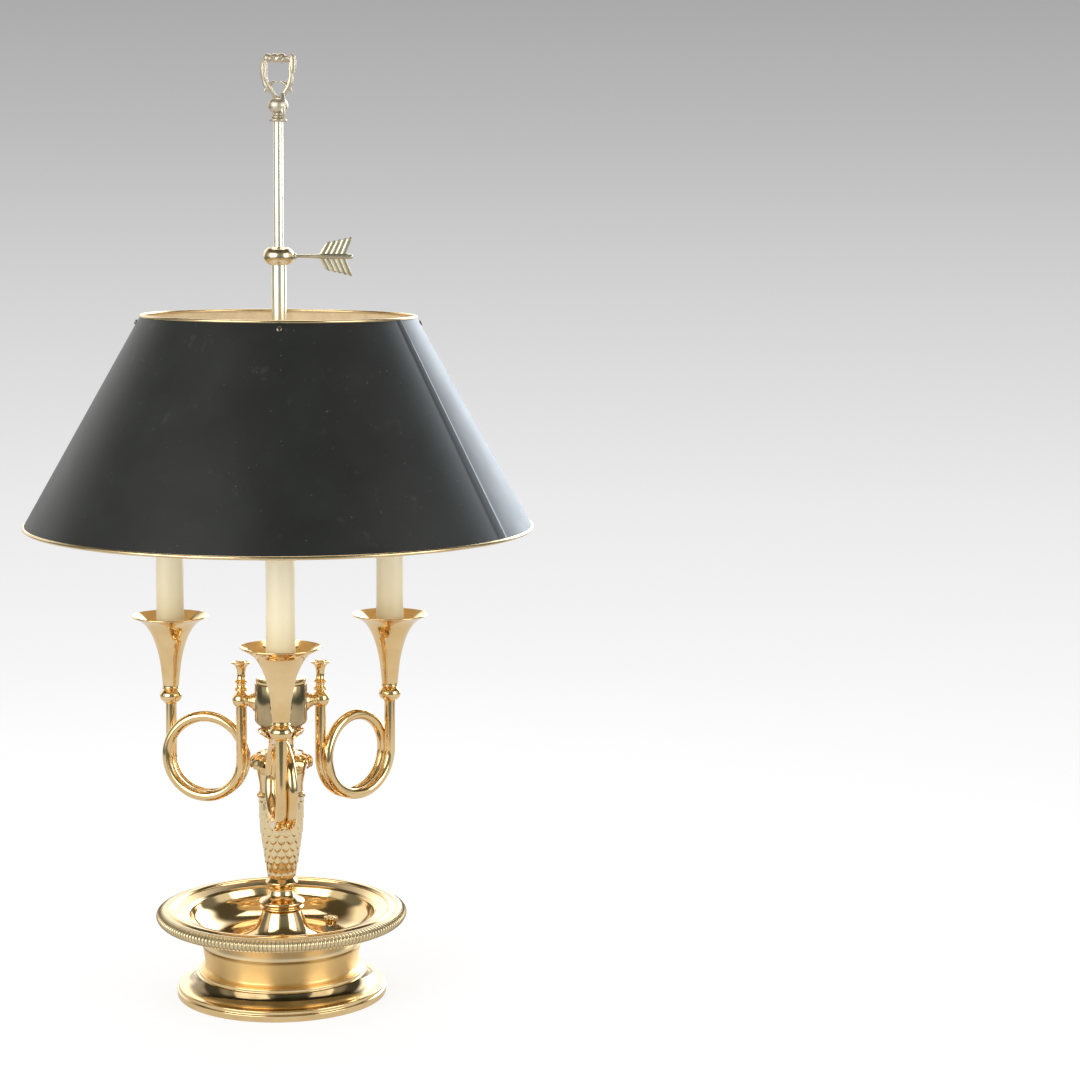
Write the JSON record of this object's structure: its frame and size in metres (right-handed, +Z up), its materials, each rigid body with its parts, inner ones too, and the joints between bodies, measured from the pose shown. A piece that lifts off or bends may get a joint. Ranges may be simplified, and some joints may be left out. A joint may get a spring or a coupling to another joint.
{
  "type": "bouillotte lamp",
  "caption": "Table lamp with a black conical shade on a sliding rod clamped by an arrow key, looped horn arms with candle sleeves, a scaled column and a dished round base.",
  "frame": {"origin": "centre of the base on the table", "axes": "+Z up along the rod; -Y towards the front arm; +X along the arrow key"},
  "size_m": [0.4361, 0.4362, 0.8124],
  "materials": {
    "polished_brass": "polished and lacquered",
    "pale_brass": "polished, paler rod stock",
    "satin_brass": "satin",
    "wire_brass": "gilt wire edge",
    "shade_black": "satin black outside, gold paint inside",
    "candle_ivory": "ivory candle sleeve",
    "socket_black": "phenolic socket",
    "plated_steel": "zinc plated",
    "cast_iron": "as cast, painted",
    "felt": "green felt",
    "black_plastic": "moulded"
  },
  "bodies": {
    "lamp": {"arm_finial_front": "polished_brass", "arm_finial_left": "polished_brass", "arm_finial_right": "polished_brass", "arm_joint_front": "polished_brass", "arm_joint_left": "polished_brass", "arm_joint_right": "polished_brass", "arm_tube_front": "polished_brass", "arm_tube_left": "polished_brass", "arm_tube_right": "polished_brass", "base_drum": "satin_brass", "base_foot": "polished_brass", "base_plate": "plated_steel", "base_weight": "cast_iron", "bell_cup_front": "polished_brass", "bell_cup_left": "polished_brass", "bell_cup_right": "polished_brass", "candle_cover_front": "candle_ivory", "candle_cover_left": "candle_ivory", "candle_cover_right": "candle_ivory", "cap_nut": "polished_brass", "center_rod": "pale_brass", "cluster_body": "polished_brass", "cluster_cap": "polished_brass", "column_collar": "polished_brass", "column_neck": "polished_brass", "column_pedestal": "polished_brass", "column_stud": "plated_steel", "column_vase": "polished_brass", "cord_bushing": "black_plastic", "cup_ball_front": "polished_brass", "cup_ball_left": "polished_brass", "cup_ball_right": "polished_brass", "dish_pan": "polished_brass", "felt_pad": "felt", "lamp_socket_front": "socket_black", "lamp_socket_left": "socket_black", "lamp_socket_right": "socket_black", "leaf_crown": "polished_brass", "ring_handle": "polished_brass", "rod_coupling": "plated_steel", "socket_nipple_front": "plated_steel", "socket_nipple_left": "plated_steel", "socket_nipple_right": "plated_steel", "stud_nut": "plated_steel", "stud_washer": "plated_steel", "switch_body": "black_plastic", "switch_nut": "plated_steel", "top_collar": "polished_brass"},
    "carriage": {"slide_sleeve": "pale_brass", "clamp_collar": "polished_brass", "hub_nuts": "polished_brass"},
    "shade": {"shade_spider": "satin_brass", "shade_shell": "shade_black", "shade_rim_bottom": "wire_brass", "shade_rim_top": "wire_brass", "shade_screws": "plated_steel"},
    "key": {"arrow_key": "polished_brass", "key_screw": "plated_steel"},
    "knob": {"switch_knob": "polished_brass"}
  },
  "joints": [
    {"name": "shade_slide", "type": "slide", "parent": "lamp", "child": "carriage", "axis": [0, 0, 1], "range_m": [-0.05, 0.1]},
    {"name": "shade_turn", "type": "hinge", "parent": "carriage", "child": "shade", "pos_m": [0, 0, 0.5822], "axis": [0, 0, 1], "continuous": true},
    {"name": "key_turn", "type": "hinge", "parent": "carriage", "child": "key", "pos_m": [0.0131, 0, 0.64225], "axis": [1, 0, 0], "range_deg": [0, 270]},
    {"name": "switch_turn", "type": "hinge", "parent": "lamp", "child": "knob", "pos_m": [0.04306, 0.02008, 0.05], "axis": [0, 0, 1], "continuous": true}
  ]
}
